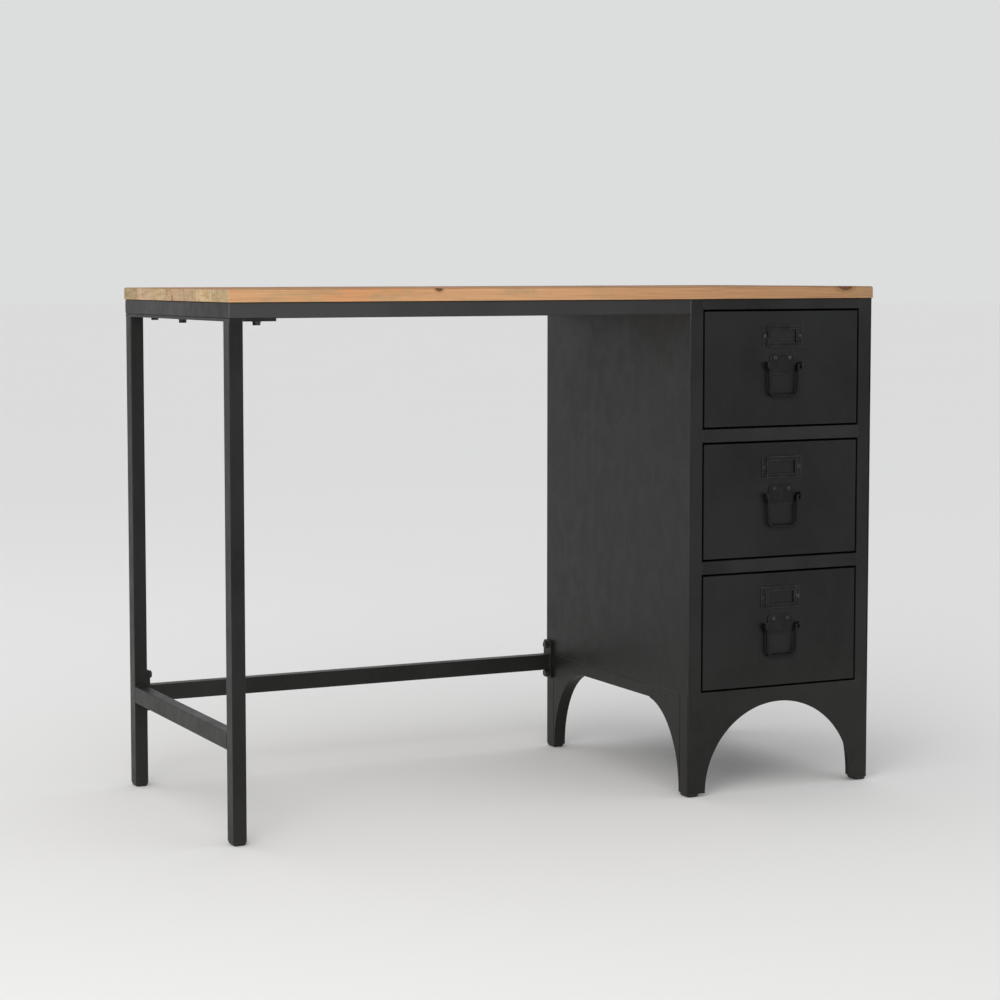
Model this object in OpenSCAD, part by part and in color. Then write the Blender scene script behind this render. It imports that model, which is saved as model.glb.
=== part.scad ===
// Writing desk: a glued wooden worktop on a steel frame, an open trestle on the left and a
// three-drawer steel cabinet on an arched base on the right.
// X runs along the desk, Y from front to back, Z up. The origin is on the floor, at the centre of
// the box around the whole desk, handles included.

/* [Overall] */
// Length of the steel frame, left to right
frame_l = 1040; // [960:10:1400]
// Depth of the steel frame, front to back
frame_d = 455; // [440:5:600]
// Height of the worktop's upper face
desk_h = 762; // [740:1:800]

/* [Worktop] */
// Thickness of the wooden boards
top_t = 18; // [14:1:30]
// Overhang of the boards past the steel frame
top_over = 2; // [1:1:10]

/* [Steel tube and sheet] */
// Width of a leg tube along X, and of every other tube across its length
tube_w = 20; // [18:1:25]
// Depth of a leg tube along Y, and height of the two lower stretchers
leg_d = 25; // [24:1:30]
// Height of the apron tubes under the worktop
apron_h = 22; // [20:1:30]
// Wall thickness of every tube
tube_t = 1.5; // [1.2:0.1:1.8]
// Outer corner radius of every tube
tube_r = 2; // [1.9:0.1:2.5]
// Thickness of the cabinet's side, back and top sheets
sheet_t = 1.5; // [1:0.1:2]

/* [Trestle] */
// Underside of the lower stretchers above the floor
stretcher_z = 130; // [120:5:200]
// Thickness of the flat bar and tabs between the legs and the aprons
strip_t = 4; // [3:0.5:5]
// Reach of the corner tabs from the leg along the long aprons
tab_l = 48; // [45:1:90]
// Height of the bolted plates at both ends of the back stretcher
plate_h = 62; // [58:1:80]
// Thickness of those plates
plate_t = 5; // [4:0.5:6]

/* [Cabinet] */
// Width of the drawer cabinet
cab_w = 320; // [300:5:420]
// Height of the arched base under the cabinet
base_h = 155; // [140:5:180]
// Width of the two front stiles as seen from the front
stile_w = 22.5; // [22:0.5:30]
// Height of the rail above the top drawer
top_rail_h = 16; // [15:1:25]
// Height of the rails between drawers
rail_h = 20; // [18:1:30]
// Thickness of the cabinet's floor sheet
floor_t = 2; // [1.5:0.5:3]

/* [Base] */
// Radius of the front arch
arch_r = 130; // [110:1:130]
// Clearance of the sheet metal above the floor
base_gap = 5; // [4:1:8]
// Thickness of the arched front sheet
skirt_t = 1.5; // [1:0.1:2]
// Width of a side gusset at its top
gusset_w = 90; // [70:5:110]
// Half length of the elliptical cut-out that shapes a gusset
gusset_a = 100; // [80:5:120]

/* [Drawers] */
// Gap round each drawer front
drawer_gap = 2.5; // [1.5:0.5:3]
// Thickness of the folded drawer front
front_t = 18; // [14:1:20]
// Thickness of the drawers' sheet steel
drawer_t = 1.2; // [1:0.1:1.5]
// Height of the drawer trays
tray_h = 140; // [90:5:145]
// Length of the drawer trays behind the fronts
tray_l = 400; // [300:10:400]

/* [Label holders and pulls] */
// Width of a label holder with its two flanges
label_w = 69; // [60:1:80]
// Height of a label holder
label_h = 32; // [28:1:36]
// Distance from the top of a drawer opening to the label holder
label_drop = 24; // [18:1:26]
// Distance from the top of a drawer opening to the pull's pivot
pivot_drop = 83.5; // [80:0.5:86]
// Distance between the outer faces of a pull's two ears
ear_span = 61; // [58:0.5:66]
// Distance of the pivot in front of the drawer front
pivot_out = 5.5; // [5:0.5:8]
// Diameter of the bail wire
wire_d = 5; // [4:0.5:5]
// Height of the hanging bail from the pivot to its lowest point
bail_h = 48; // [42:1:52]

/* [Hidden] */

$fn = 48;

// Colours
wood = [0.78, 0.60, 0.42];
steel = [0.18, 0.19, 0.18];
hardware = [0.12, 0.12, 0.12];
plastic = [0.05, 0.05, 0.05];

// Main planes. The ears of the pulls reach pull_out in front of the steel frame.
ear_r = 5;
pull_out = pivot_out + ear_r;
left = -frame_l / 2;
right = frame_l / 2;
front = (pull_out - frame_d - top_over) / 2;
back = front + frame_d;
under_top = desk_h - top_t;
apron_z = under_top - apron_h;
leg_top = apron_z - strip_t;
cab_x = right - cab_w;
cab_mid = right - cab_w / 2;
in_left = cab_x + sheet_t;
in_right = right - sheet_t;
in_back = back - sheet_t;
eps = 0.01;

// Worktop boards
board_n = 7;
board_w = (frame_d + 2 * top_over) / board_n;

// Feet
foot_h = base_gap;
foot_r = 4;
plug_h = 14;
plug_gap = 0.1;
foot_inset = 0.3;

// Base. The gussets' curve starts gusset_foot away from the leg.
gusset_foot = 2;

// Back stretcher and its plates
plate_w = leg_d;
plate_over = 2;
plate_rise = 4.5;
plate_z = stretcher_z + leg_d / 2 + plate_rise - plate_h / 2;
plate_y = back + plate_over - plate_w / 2;
plate_bolt = 23.5;
plate_r = 4;

// Drawer openings, counted from the top drawer down
open_w = cab_w - 2 * stile_w;
open_h = (under_top - top_rail_h - base_h - floor_t - 2 * rail_h) / 3;
open_x = cab_x + stile_w;
frame_t = tube_w;
tray_gap = 3;
tray_lift = 3;
runner_t = 1.5;
runner_h = 20;
runner_w = 15;
runner_gap = 0.4;
hem_h = 9;

// Fasteners: M6 bolts, 4.5 mm wood screws and 4 mm rivets. The pilot holes in the wood are
// pilot_over deeper than the screws, and a bolt ends bolt_over past its nut.
bolt_r = 3;
bolt_gap = 0.2;
thread_gap = 0.1;
hex_r = 5.77;
head_h = 4;
nut_h = 5;
washer_r = 6;
washer_t = 1.4;
screw_r = 2.25;
screw_head_r = 4.5;
screw_head_h = 2.5;
screw_bite = 11;
screw_tip_r = 0.4;
access_r = 6;
pilot_over = 0.5;
bolt_over = 2;
apron_screw_n = 3;
sheet_screw_x = 50;
sheet_screw_y = 100;
tab_bolt_x = 43;
strip_bolt_y = 220;
rivet_r = 2;
rivet_gap = 0.1;
dome_r = 3.4;
dome_h = 1.4;
set_r = 3.2;
set_h = 1;

// Label holder
label_t = 1.2;
window_w = 46;
window_h = 20;
pocket_w = 54;
pocket_t = 1.4;

// Pull
pull_t = 1.8;
pull_top = 17;
pull_bottom = -13;
pull_head_w = 44;
pull_foot_w = 46;
pull_r = 6;
rivet_up = 11;
rivet_span = 25;
ear_t = 1.8;
ear_drop = 9.5;
arm_top = 25.5;
arm_foot = 24.5;
corner_r = 8;
elbow_r = 2.6;
pin_gap = 0.05;
pin_step = 0.4;
pin_out = 2;

// Height of the bottom of drawer opening i, where 1 is the top drawer
function open_z(i) = base_h + floor_t + (3 - i) * (open_h + rail_h);
// Height of the pivot of drawer i's pull
function pivot_z(i) = open_z(i) + open_h - pivot_drop;

// ---- shared shapes ----

// A box from its lowest corner to its highest corner
module block(lo, hi) {
    translate(lo)
        cube(hi - lo);
}

// A rectangle with true quarter-round corners
module round_rect(size, r) {
    translate([r, 0])
        square([size.x - 2 * r, size.y]);
    translate([0, r])
        square([size.x, size.y - 2 * r]);
    for (x = [r, size.x - r], y = [r, size.y - r])
        translate([x, y])
            circle(r);
}

// The section of a rectangular steel tube
module tube_section(size) {
    difference() {
        round_rect(size, tube_r);
        translate([tube_t, tube_t])
            square([size.x - 2 * tube_t, size.y - 2 * tube_t]);
    }
}

// A rectangular tube along X, between two corners
module tube_x(lo, hi) {
    translate(lo)
        rotate([90, 0, 90])
            linear_extrude(hi.x - lo.x)
                tube_section([hi.y - lo.y, hi.z - lo.z]);
}

// A rectangular tube along Y, between two corners
module tube_y(lo, hi) {
    translate([lo.x, hi.y, lo.z])
        rotate([90, 0, 0])
            linear_extrude(hi.y - lo.y)
                tube_section([hi.x - lo.x, hi.z - lo.z]);
}

// A rectangular tube along Z, between two corners
module tube_z(lo, hi) {
    translate(lo)
        linear_extrude(hi.z - lo.z)
            tube_section([hi.x - lo.x, hi.y - lo.y]);
}

// Places its children, drawn along +Z, so that they run along +X
module along_x() {
    rotate([0, 90, 0])
        children();
}

// A cylinder along Y that starts at a point and runs backwards
module rod_y(at, r, h) {
    translate(at)
        rotate([-90, 0, 0])
            cylinder(r = r, h = h);
}

// Where the fasteners are: wood screws in the upper walls of the aprons, wood screws in the
// cabinet's top sheet, upright bolts under the aprons, and level bolts through the stretcher plates
apron_screws = [for (k = [0:apron_screw_n - 1], y = [front + tube_w / 2, back - tube_w / 2])
    [left + (cab_x - left) * (k + 0.5) / apron_screw_n, y, under_top - tube_t]];
top_sheet_screws = [
    for (x = [cab_x + sheet_screw_x, right - sheet_screw_x],
        y = [front + sheet_screw_y, back - sheet_screw_y])
        [x, y, under_top - sheet_t]
];
apron_bolts = concat(
    [for (y = [front + tube_w / 2, back - tube_w / 2]) [left + tab_bolt_x, y, apron_z]],
    [[left + tube_w / 2, front + strip_bolt_y, apron_z]]
);
plate_bolt_z = [plate_z + plate_h / 2 - plate_bolt, plate_z + plate_h / 2 + plate_bolt];
plate_faces = [left + tube_w, cab_x];

// Clearance holes for the wood screws and the upright bolts, and the wide holes in the aprons'
// lower walls that let a screw and its driver into the tube
module upright_holes() {
    for (p = apron_screws) {
        translate([p.x, p.y, p.z - 1])
            cylinder(r = screw_r + thread_gap, h = tube_t + 2);
        translate([p.x, p.y, apron_z - 1])
            cylinder(r = access_r, h = tube_t + 2);
    }
    for (p = top_sheet_screws)
        translate([p.x, p.y, p.z - 1])
            cylinder(r = screw_r + thread_gap, h = sheet_t + 2);
    for (p = apron_bolts)
        translate([p.x, p.y, p.z - strip_t - 1])
            cylinder(r = bolt_r + bolt_gap, h = strip_t + tube_t + 2);
}

// Clearance holes for the level bolts, at both ends of the back stretcher
module level_holes() {
    for (x = plate_faces, z = plate_bolt_z)
        translate([x - plate_t - tube_t - 1, plate_y, z])
            along_x()
                cylinder(r = bolt_r + bolt_gap, h = 2 * (plate_t + tube_t + 1));
}

// ---- worktop ----

// One board of the glued top, with the pilot holes of the screws that end in it
module top_board(i) {
    y = front - top_over + (i - 1) * board_w;
    color(wood)
        difference() {
            block([left - top_over, y, under_top], [right + top_over, y + board_w, desk_h]);
            for (p = concat(apron_screws, top_sheet_screws))
                translate([p.x, p.y, under_top - 1])
                    cylinder(r = screw_r + thread_gap, h = screw_bite + pilot_over + 1);
        }
}

// ---- steel frame under the worktop ----

// An upright prism that cuts the aprons' mitred corners
module plan(points) {
    translate([0, 0, apron_z - 1])
        linear_extrude(apron_h + 2)
            polygon(points);
}

// The front apron, mitred on the left and butted to the cabinet on the right
module apron_front() {
    color(steel)
        difference() {
            intersection() {
                tube_x([left, front, apron_z], [cab_x, front + tube_w, under_top]);
                plan([[left, front], [cab_x, front], [cab_x, front + tube_w],
                    [left + tube_w, front + tube_w]]);
            }
            upright_holes();
        }
}

// The back apron
module apron_back() {
    color(steel)
        difference() {
            intersection() {
                tube_x([left, back - tube_w, apron_z], [cab_x, back, under_top]);
                plan([[left, back], [left + tube_w, back - tube_w], [cab_x, back - tube_w],
                    [cab_x, back]]);
            }
            upright_holes();
        }
}

// The short apron on the left, mitred at both ends
module apron_left() {
    color(steel)
        difference() {
            intersection() {
                tube_y([left, front, apron_z], [left + tube_w, back, under_top]);
                plan([[left, front], [left + tube_w, front + tube_w],
                    [left + tube_w, back - tube_w], [left, back]]);
            }
            upright_holes();
        }
}

// ---- trestle ----

// A leg tube of the trestle, from its foot cap to the flat bar
module trestle_leg(y) {
    color(steel)
        difference() {
            tube_z([left, y, foot_h], [left + tube_w, y + leg_d, leg_top]);
            level_holes();
        }
}

module leg_front_left() {
    trestle_leg(front);
}

module leg_back_left() {
    trestle_leg(back - leg_d);
}

// The flat bar that joins the legs' tops and is bolted up to the left apron
module leg_strip() {
    color(steel)
        difference() {
            block([left, front, leg_top], [left + tube_w, back, apron_z]);
            upright_holes();
        }
}

// Two tabs that run from the flat bar under the front and back aprons
module leg_tabs() {
    color(steel)
        difference() {
            for (y = [front, back - tube_w])
                block([left + tube_w, y, leg_top], [left + tube_w + tab_l, y + tube_w, apron_z]);
            upright_holes();
        }
}

// The low tube between the two legs
module side_stretcher() {
    color(steel)
        tube_y([left, front + leg_d, stretcher_z],
            [left + tube_w, back - leg_d, stretcher_z + leg_d]);
}

// The low tube along the back, between its two end plates
module back_stretcher() {
    color(steel)
        tube_x([left + tube_w + plate_t, back - tube_w, stretcher_z],
            [cab_x - plate_t, back, stretcher_z + leg_d]);
}

// The two end plates, bolted to the back leg and to the cabinet
module stretcher_plates() {
    color(steel)
        difference() {
            for (x = [left + tube_w, cab_x - plate_t])
                translate([x, back + plate_over - plate_w, plate_z])
                    rotate([90, 0, 90])
                        linear_extrude(plate_t)
                            round_rect([plate_w, plate_h], plate_r);
            level_holes();
        }
}

// ---- cabinet ----

// A side sheet, drawn for the left side
module cabinet_side(x) {
    color(steel)
        difference() {
            block([x, front, base_h], [x + sheet_t, back, under_top]);
            level_holes();
        }
}

module cabinet_side_left() {
    cabinet_side(cab_x);
}

module cabinet_side_right() {
    cabinet_side(in_right);
}

module cabinet_back() {
    color(steel)
        block([in_left, in_back, base_h], [in_right, back, under_top]);
}

module cabinet_floor() {
    color(steel)
        block([in_left, front, base_h], [in_right, in_back, base_h + floor_t]);
}

// The sheet under the worktop, with the holes of four wood screws
module cabinet_top() {
    color(steel)
        difference() {
            block([in_left, front + frame_t, under_top - sheet_t],
                [in_right, in_back, under_top]);
            upright_holes();
        }
}

// A front stile: an upright tube inside the side sheet
module stile(x) {
    color(steel)
        tube_z([x, front, base_h + floor_t], [x + stile_w - sheet_t, front + frame_t, under_top]);
}

module stile_left() {
    stile(in_left);
}

module stile_right() {
    stile(in_right - stile_w + sheet_t);
}

// A rail between the stiles
module rail(z, h) {
    color(steel)
        tube_x([open_x, front, z], [open_x + open_w, front + frame_t, z + h]);
}

module rail_top() {
    rail(under_top - top_rail_h, top_rail_h);
}

module rail_upper() {
    rail(open_z(1) - rail_h, rail_h);
}

module rail_lower() {
    rail(open_z(2) - rail_h, rail_h);
}

// ---- arched base ----

// A leg tube of the base. The front two stand behind the arched sheet.
module base_leg(x, y0, y1) {
    color(steel)
        difference() {
            tube_z([x, y0, foot_h], [x + tube_w, y1, base_h]);
            level_holes();
        }
}

module base_leg_front_left() {
    base_leg(cab_x, front + skirt_t, front + leg_d);
}

module base_leg_front_right() {
    base_leg(right - tube_w, front + skirt_t, front + leg_d);
}

module base_leg_back_left() {
    base_leg(cab_x, back - leg_d, back);
}

module base_leg_back_right() {
    base_leg(right - tube_w, back - leg_d, back);
}

// A side rail between two gussets
module base_rail_side(x) {
    color(steel)
        tube_y([x, front + leg_d + gusset_w, base_h - tube_w],
            [x + tube_w, back - leg_d - gusset_w, base_h]);
}

module base_rail_left() {
    base_rail_side(cab_x);
}

module base_rail_right() {
    base_rail_side(right - tube_w);
}

module base_rail_back() {
    color(steel)
        tube_x([cab_x + tube_w, back - tube_w, base_h - tube_w],
            [right - tube_w, back, base_h]);
}

module base_rail_front() {
    color(steel)
        tube_x([cab_x + tube_w, front + skirt_t, base_h - tube_w],
            [right - tube_w, front + skirt_t + tube_w, base_h]);
}

// The thin front sheet with its half-round arch
module base_skirt() {
    color(steel)
        translate([cab_mid, front + skirt_t, 0])
            rotate([90, 0, 0])
                linear_extrude(skirt_t)
                    difference() {
                        translate([-cab_w / 2, base_gap])
                            square([cab_w, base_h - base_gap]);
                        translate([0, base_gap])
                            circle(arch_r, $fn = 128);
                    }
}

// The cut-out curve of a gusset as points, from the leg's foot to the rail. Y is measured from the
// leg's outer face and the curve is a quarter of an ellipse, moved inwards by inset.
function gusset_curve(inset) = let (
    mid = leg_d + gusset_a + gusset_foot,
    b = base_h - tube_w - base_gap,
    steps = 22,
    stop = acos((mid - leg_d - gusset_w) / gusset_a)
) [for (k = [0:steps]) let (t = stop * k / steps)
    [mid - (gusset_a + inset) * cos(t), base_gap + (b + inset) * sin(t)]];

// The outline of a gusset between the leg, the top of the base and its curve
function gusset_outline(inset, over) = concat(
    [[leg_d - over, base_gap]],
    gusset_curve(inset),
    [[leg_d + gusset_w + over, base_h - tube_w + inset],
        [leg_d + gusset_w + over, base_h + over], [leg_d - over, base_h + over]]
);

// A folded gusset, open towards the leg and the cabinet, drawn from Y = 0 backwards
module gusset() {
    rotate([90, 0, 90])
        difference() {
            linear_extrude(tube_w)
                polygon(gusset_outline(0, 0));
            translate([0, 0, tube_t])
                linear_extrude(tube_w - 2 * tube_t)
                    polygon(gusset_outline(tube_t, 1));
        }
}

// The front and back gussets of one side
module gussets(x) {
    color(steel) {
        translate([x, front, 0])
            gusset();
        translate([x, back, 0])
            mirror([0, 1, 0])
                gusset();
    }
}

module gussets_left() {
    gussets(cab_x);
}

module gussets_right() {
    gussets(right - tube_w);
}

// ---- feet ----

// A plastic cap: a shoe with rounded edges under the tube, and a plug inside it
module foot_cap(lo, hi, plug_lo) {
    hull()
        for (a = [0:18:90])
            let (inset = foot_r * (1 - sin(a)) + foot_inset)
                translate([lo.x + inset, lo.y + inset, foot_r * (1 - cos(a))])
                    linear_extrude(a == 90 ? foot_h - foot_r : eps)
                        square([hi.x - lo.x - 2 * inset, hi.y - lo.y - 2 * inset]);
    block([lo.x + tube_t + plug_gap, plug_lo + tube_t + plug_gap, foot_h - eps],
        [hi.x - tube_t - plug_gap, hi.y - tube_t - plug_gap, foot_h + plug_h]);
}

// All six caps: two under the trestle, four under the base
module foot_caps() {
    color(plastic) {
        for (x = [left, cab_x, right - tube_w]) {
            foot_cap([x, front], [x + tube_w, front + leg_d],
                x == left ? front : front + skirt_t);
            foot_cap([x, back - leg_d], [x + tube_w, back], back - leg_d);
        }
    }
}

// ---- drawer runners ----

// An angle along the left of drawer i, from the front frame to the back sheet
module runner(i) {
    z = open_z(i) + tray_lift - runner_t - runner_gap;
    block([open_x, front + frame_t, z], [open_x + runner_w, in_back, z + runner_t]);
    block([open_x, front + frame_t, z + runner_t - eps],
        [open_x + runner_t, in_back, z + runner_h]);
}

// Left and right runners of all drawers
module drawer_runners() {
    color(hardware)
        for (i = [1:3])
            for (side = [0, 1])
                translate([side * 2 * cab_mid, 0, 0])
                    mirror([side, 0, 0])
                        runner(i);
}

// ---- fasteners ----

// A bolt set that points up +Z: washer and head below z = 0, a nut above the clamped thickness
module bolt_set(grip) {
    translate([0, 0, -washer_t])
        difference() {
            cylinder(r = washer_r, h = washer_t);
            translate([0, 0, -1])
                cylinder(r = bolt_r + bolt_gap, h = washer_t + 2);
        }
    translate([0, 0, -washer_t - head_h])
        cylinder(r = hex_r, h = head_h, $fn = 6);
    translate([0, 0, -washer_t - eps])
        cylinder(r = bolt_r, h = washer_t + grip + nut_h + bolt_over);
    translate([0, 0, grip])
        difference() {
            cylinder(r = hex_r, h = nut_h, $fn = 6);
            translate([0, 0, -1])
                cylinder(r = bolt_r + thread_gap, h = nut_h + 2);
        }
}

// Three upright bolts under the aprons and four level ones through the stretcher plates
module bolts_and_nuts() {
    color(hardware) {
        for (p = apron_bolts)
            translate([p.x, p.y, leg_top])
                bolt_set(strip_t + tube_t);
        for (z = plate_bolt_z) {
            translate([left + tube_w + plate_t, plate_y, z])
                mirror([1, 0, 0])
                    along_x()
                        bolt_set(plate_t + tube_t);
            translate([cab_x - plate_t, plate_y, z])
                along_x()
                    bolt_set(plate_t + tube_t);
        }
    }
}

// A pan-head wood screw that points up, with its head below z = 0
module wood_screw(length) {
    translate([0, 0, -screw_head_h])
        cylinder(r1 = screw_head_r - 1, r2 = screw_head_r, h = screw_head_h);
    translate([0, 0, -eps])
        cylinder(r = screw_r, h = length - screw_r);
    translate([0, 0, length - screw_r - 2 * eps])
        cylinder(r1 = screw_r, r2 = screw_tip_r, h = screw_r);
}

// The screws that hold the worktop down
module top_screws() {
    color(hardware) {
        for (p = apron_screws)
            translate(p)
                wood_screw(tube_t + screw_bite);
        for (p = top_sheet_screws)
            translate(p)
                wood_screw(sheet_t + screw_bite);
    }
}

// ---- drawers ----

// Rivet places of drawer i: two in the label holder's flanges, two in the pull's plate.
// The third number is the height, the second the thickness of metal in front of the drawer front.
function label_rivets(i) = [for (s = [-1, 1])
    [cab_mid + s * (label_w + pocket_w) / 4, label_t,
        open_z(i) + open_h - label_drop - label_h / 2]];
function pull_rivets(i) = [for (s = [-1, 1])
    [cab_mid + s * rivet_span / 2, pull_t, pivot_z(i) + rivet_up]];

module rivet_holes(i) {
    for (p = concat(label_rivets(i), pull_rivets(i)))
        rod_y([p.x, front - pull_t - 1, p.z], rivet_r + rivet_gap, pull_t + drawer_t + 2);
}

// The folded front of a drawer: a shallow pan, open to the back
module drawer_front(i) {
    lo = [open_x + drawer_gap, front, open_z(i) + drawer_gap];
    hi = [open_x + open_w - drawer_gap, front + front_t, open_z(i) + open_h - drawer_gap];
    t = [drawer_t, drawer_t, drawer_t];
    color(steel)
        difference() {
            block(lo, hi);
            block(lo + t, [hi.x - drawer_t, hi.y + 1, hi.z - drawer_t]);
            rivet_holes(i);
        }
}

// The tray behind the front: folded sheet, open at the top, with a doubled hem along its edge
module drawer_tray(i) {
    z = open_z(i) + tray_lift;
    lo = [open_x + tray_gap, front + front_t, z];
    hi = [open_x + open_w - tray_gap, front + front_t + tray_l, z + tray_h];
    hem = 2 * drawer_t;
    color(steel)
        difference() {
            block(lo, hi);
            block([lo.x + drawer_t, lo.y + drawer_t, z + drawer_t],
                [hi.x - drawer_t, hi.y - drawer_t, hi.z - hem_h]);
            block([lo.x + hem, lo.y + hem, hi.z - hem_h - eps],
                [hi.x - hem, hi.y - hem, hi.z + 1]);
        }
}

// A label holder: two riveted flanges and a raised pocket that is open at the top
module label_holder(i) {
    z = open_z(i) + open_h - label_drop - label_h;
    out = label_t + pocket_t;
    color(hardware)
        difference() {
            union() {
                block([cab_mid - label_w / 2, front - label_t, z],
                    [cab_mid + label_w / 2, front, z + label_h]);
                block([cab_mid - pocket_w / 2, front - out, z],
                    [cab_mid + pocket_w / 2, front, z + label_h]);
            }
            block([cab_mid - pocket_w / 2 + label_t, front - pocket_t, z + label_t],
                [cab_mid + pocket_w / 2 - label_t, front + 1, z + label_h + 1]);
            block([cab_mid - window_w / 2, front - out - 1, z + (label_h - window_h) / 2],
                [cab_mid + window_w / 2, front, z + (label_h + window_h) / 2]);
            rivet_holes(i);
        }
}

// The flat of a pull, around its pivot line: a riveted head over a foot with round corners
module pull_flat() {
    translate([-pull_head_w / 2, -ear_r])
        round_rect([pull_head_w, pull_top + ear_r], pull_r);
    translate([-ear_span / 2, -ear_drop])
        square([ear_span, ear_drop + ear_r]);
    translate([-pull_foot_w / 2, pull_bottom])
        round_rect([pull_foot_w, -pull_bottom], pull_r);
}

// One ear: a tab that stands out from the plate, round at its tip, with the pin's hole
module ear(x) {
    translate([x, 0, 0])
        difference() {
            hull() {
                block([0, -pull_t, -ear_drop], [ear_t, 0, ear_r]);
                translate([0, -pivot_out, 0])
                    along_x()
                        cylinder(r = ear_r, h = ear_t);
            }
            translate([-1, -pivot_out, 0])
                along_x()
                    cylinder(r = wire_d / 2, h = ear_t + 2);
        }
}

// The back plate of a pull with its two ears
module pull_plate(i) {
    color(hardware)
        difference() {
            translate([cab_mid, front, pivot_z(i)]) {
                rotate([90, 0, 0])
                    linear_extrude(pull_t)
                        pull_flat();
                ear(ear_span / 2 - ear_t);
                ear(-ear_span / 2);
            }
            rivet_holes(i);
        }
}

// A rivet through the drawer front: dome outside, set head inside
module rivet(p) {
    rod_y([p.x, front - p.y - eps, p.z], rivet_r, p.y + drawer_t + set_h);
    translate([p.x, front - p.y, p.z])
        rotate([90, 0, 0])
            cylinder(r1 = dome_r, r2 = dome_r - dome_h, h = dome_h);
    rod_y([p.x, front + drawer_t, p.z], set_r, set_h);
}

module rivets(i) {
    color(hardware)
        for (p = concat(label_rivets(i), pull_rivets(i)))
            rivet(p);
}

// ---- bail ----

arm_fall = bail_h - wire_d / 2;
arm_tilt = atan2(arm_top - arm_foot, arm_fall);
corner_in = corner_r * tan((90 - arm_tilt) / 2);
elbow_in = elbow_r * tan((90 - arm_tilt) / 2);

// Right half of the bail's centre line in its own plane, from the bottom's middle to the pin.
// Each point holds x, z and the direction of the wire there.
function half_line() = concat(
    [[0, -arm_fall, 0]],
    [for (k = [0:8]) let (a = (90 - arm_tilt) * k / 8)
        [arm_foot - corner_in + corner_r * sin(a), -arm_fall + corner_r * (1 - cos(a)), a]],
    [for (k = [0:6]) let (a = (90 - arm_tilt) * (1 - k / 6))
        [arm_top + elbow_in - elbow_r * sin(a), -elbow_r * (1 - cos(a)), a]],
    [[arm_top + elbow_in + pin_step, 0, 0]]
);
function flipped(p) = [-p.x, p.y, -p.z];
function whole_line() = let (h = half_line(), n = len(h)) concat(
    [for (k = [n - 1:-1:1]) flipped(h[k])], h);

// The swept wire of the bail, slightly thicker than its pins
module bail_wire() {
    line = whole_line();
    n = len(line);
    sides = 14;
    r = wire_d / 2 + pin_gap;
    points = [for (p = line, s = [0:sides - 1])
        let (t = 360 * s / sides)
            [p.x - r * cos(t) * sin(p.z), r * sin(t), p.y + r * cos(t) * cos(p.z)]];
    sleeve = [for (k = [0:n - 2], s = [0:sides - 1])
        let (q = (s + 1) % sides)
            [k * sides + s, k * sides + q, (k + 1) * sides + q, (k + 1) * sides + s]];
    first = [for (s = [sides - 1:-1:0]) s];
    last = [for (s = [0:sides - 1]) (n - 1) * sides + s];
    polyhedron(points, concat([first], sleeve, [last]), convexity = 4);
}

// The bail of drawer i, hanging straight down from its two pins
module bail(i) {
    pin_in = arm_top + elbow_in;
    color(hardware)
        translate([cab_mid, front - pivot_out, pivot_z(i)]) {
            bail_wire();
            for (side = [0, 1])
                mirror([side, 0, 0])
                    translate([pin_in, 0, 0])
                        along_x()
                            cylinder(r = wire_d / 2 - pin_gap, h = ear_span / 2 + pin_out - pin_in);
        }
}

// ---- drawing ----

top_board(1);  // top_board_1
top_board(2);  // top_board_2
top_board(3);  // top_board_3
top_board(4);  // top_board_4
top_board(5);  // top_board_5
top_board(6);  // top_board_6
top_board(7);  // top_board_7
apron_front();
apron_back();
apron_left();
leg_front_left();
leg_back_left();
leg_strip();
leg_tabs();
side_stretcher();
back_stretcher();
stretcher_plates();
cabinet_side_left();
cabinet_side_right();
cabinet_back();
cabinet_floor();
cabinet_top();
stile_left();
stile_right();
rail_top();
rail_upper();
rail_lower();
base_leg_front_left();
base_leg_front_right();
base_leg_back_left();
base_leg_back_right();
base_rail_left();
base_rail_right();
base_rail_back();
base_rail_front();
base_skirt();
gussets_left();
gussets_right();
foot_caps();
drawer_runners();
bolts_and_nuts();
top_screws();
drawer_front(1);  // drawer_front_1
drawer_front(2);  // drawer_front_2
drawer_front(3);  // drawer_front_3
drawer_tray(1);  // drawer_tray_1
drawer_tray(2);  // drawer_tray_2
drawer_tray(3);  // drawer_tray_3
label_holder(1);  // label_holder_1
label_holder(2);  // label_holder_2
label_holder(3);  // label_holder_3
pull_plate(1);  // pull_plate_1
pull_plate(2);  // pull_plate_2
pull_plate(3);  // pull_plate_3
rivets(1);  // rivets_1
rivets(2);  // rivets_2
rivets(3);  // rivets_3
bail(1);  // bail_1
bail(2);  // bail_2
bail(3);  // bail_3
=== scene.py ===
"""Looks of the writing desk: glued softwood boards on a black steel frame, a trestle on the left and
a three-drawer cabinet on an arched base on the right. Every length is in metres, in the frame of the
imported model: X along the desk, Y from front to back, Z up."""

import math
import random

import bmesh
import bpy
from mathutils import Matrix, Vector, noise


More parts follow.
